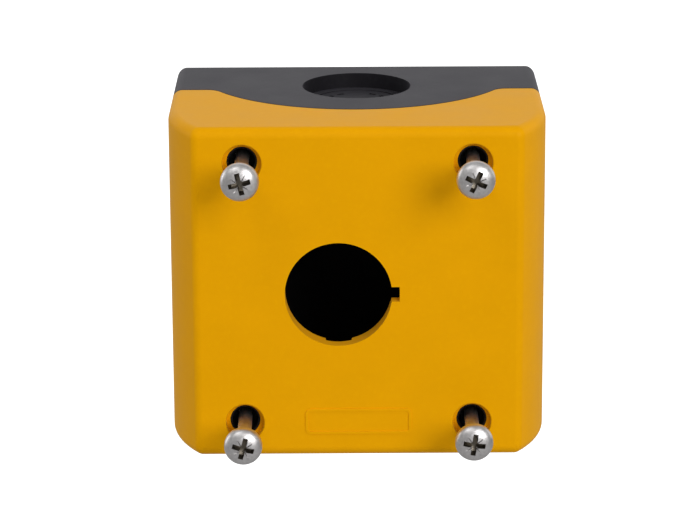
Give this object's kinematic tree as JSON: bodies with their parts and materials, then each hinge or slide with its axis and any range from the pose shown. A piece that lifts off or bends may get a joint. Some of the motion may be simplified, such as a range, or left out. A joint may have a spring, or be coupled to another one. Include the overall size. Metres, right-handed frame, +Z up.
{
  "type": "push button enclosure",
  "caption": "Wall-mounted push-button enclosure: yellow screw-down cover with a keyed device hole on a black base with cable-entry knockouts.",
  "frame": {"origin": "centre of the flat wall face at the back of the base", "axes": "+Z up, +X to the right seen from in front, the front face looks towards -Y and the wall is on the +Y side"},
  "size_m": [0.0798, 0.0727, 0.0716],
  "materials": {
    "yellow_plastic": "fine textured",
    "black_plastic": "fine textured",
    "gasket_rubber": "matt",
    "screw_steel": "satin",
    "ring_nylon": "plain",
    "insert_brass": "satin"
  },
  "bodies": {
    "base": {"base_shell": "black_plastic", "cover_gasket": "gasket_rubber", "knockout_disc_top": "black_plastic", "knockout_disc_bottom": "black_plastic", "knockout_disc_rear": "black_plastic", "thread_insert_top_left": "insert_brass", "thread_insert_top_right": "insert_brass", "thread_insert_bottom_left": "insert_brass", "thread_insert_bottom_right": "insert_brass"},
    "cover": {"cover_shell": "yellow_plastic", "screw_seal_top_left": "gasket_rubber", "screw_seal_top_right": "gasket_rubber", "screw_seal_bottom_left": "gasket_rubber", "screw_seal_bottom_right": "gasket_rubber"},
    "ring_top_left": {"retaining_ring_top_left": "ring_nylon"},
    "screw_top_left": {"cover_screw_top_left": "screw_steel"},
    "ring_top_right": {"retaining_ring_top_right": "ring_nylon"},
    "screw_top_right": {"cover_screw_top_right": "screw_steel"},
    "ring_bottom_left": {"retaining_ring_bottom_left": "ring_nylon"},
    "screw_bottom_left": {"cover_screw_bottom_left": "screw_steel"},
    "ring_bottom_right": {"retaining_ring_bottom_right": "ring_nylon"},
    "screw_bottom_right": {"cover_screw_bottom_right": "screw_steel"}
  },
  "joints": [
    {"name": "cover_lift", "type": "slide", "parent": "base", "child": "cover", "axis": [0, -1, 0], "range_m": [0, 0.08]},
    {"name": "ring_top_left_slide", "type": "slide", "parent": "cover", "child": "ring_top_left", "axis": [0, 1, 0], "range_m": [0, 0.01578]},
    {"name": "screw_top_left_turn", "type": "hinge", "parent": "ring_top_left", "child": "screw_top_left", "pos_m": [-0.024, -0.056, 0.0283], "axis": [0, 1, 0], "range_deg": [0, 8120.4]},
    {"name": "ring_top_right_slide", "type": "slide", "parent": "cover", "child": "ring_top_right", "axis": [0, 1, 0], "range_m": [0, 0.01508]},
    {"name": "screw_top_right_turn", "type": "hinge", "parent": "ring_top_right", "child": "screw_top_right", "pos_m": [0.024, -0.056, 0.0283], "axis": [0, 1, 0], "range_deg": [0, 7760.4]},
    {"name": "ring_bottom_left_slide", "type": "slide", "parent": "cover", "child": "ring_bottom_left", "axis": [0, 1, 0], "range_m": [0, 0.01618]},
    {"name": "screw_bottom_left_turn", "type": "hinge", "parent": "ring_bottom_left", "child": "screw_bottom_left", "pos_m": [-0.024, -0.056, -0.0283], "axis": [0, 1, 0], "range_deg": [0, 8326.1]},
    {"name": "ring_bottom_right_slide", "type": "slide", "parent": "cover", "child": "ring_bottom_right", "axis": [0, 1, 0], "range_m": [0, 0.01448]},
    {"name": "screw_bottom_right_turn", "type": "hinge", "parent": "ring_bottom_right", "child": "screw_bottom_right", "pos_m": [0.024, -0.056, -0.0283], "axis": [0, 1, 0], "range_deg": [0, 7451.9]}
  ],
  "couplings": [
    {"joint": "screw_top_left_turn", "follows": "ring_top_left_slide", "rad_per_m": 8976},
    {"joint": "screw_top_right_turn", "follows": "ring_top_right_slide", "rad_per_m": 8976},
    {"joint": "screw_bottom_left_turn", "follows": "ring_bottom_left_slide", "rad_per_m": 8976},
    {"joint": "screw_bottom_right_turn", "follows": "ring_bottom_right_slide", "rad_per_m": 8976}
  ]
}
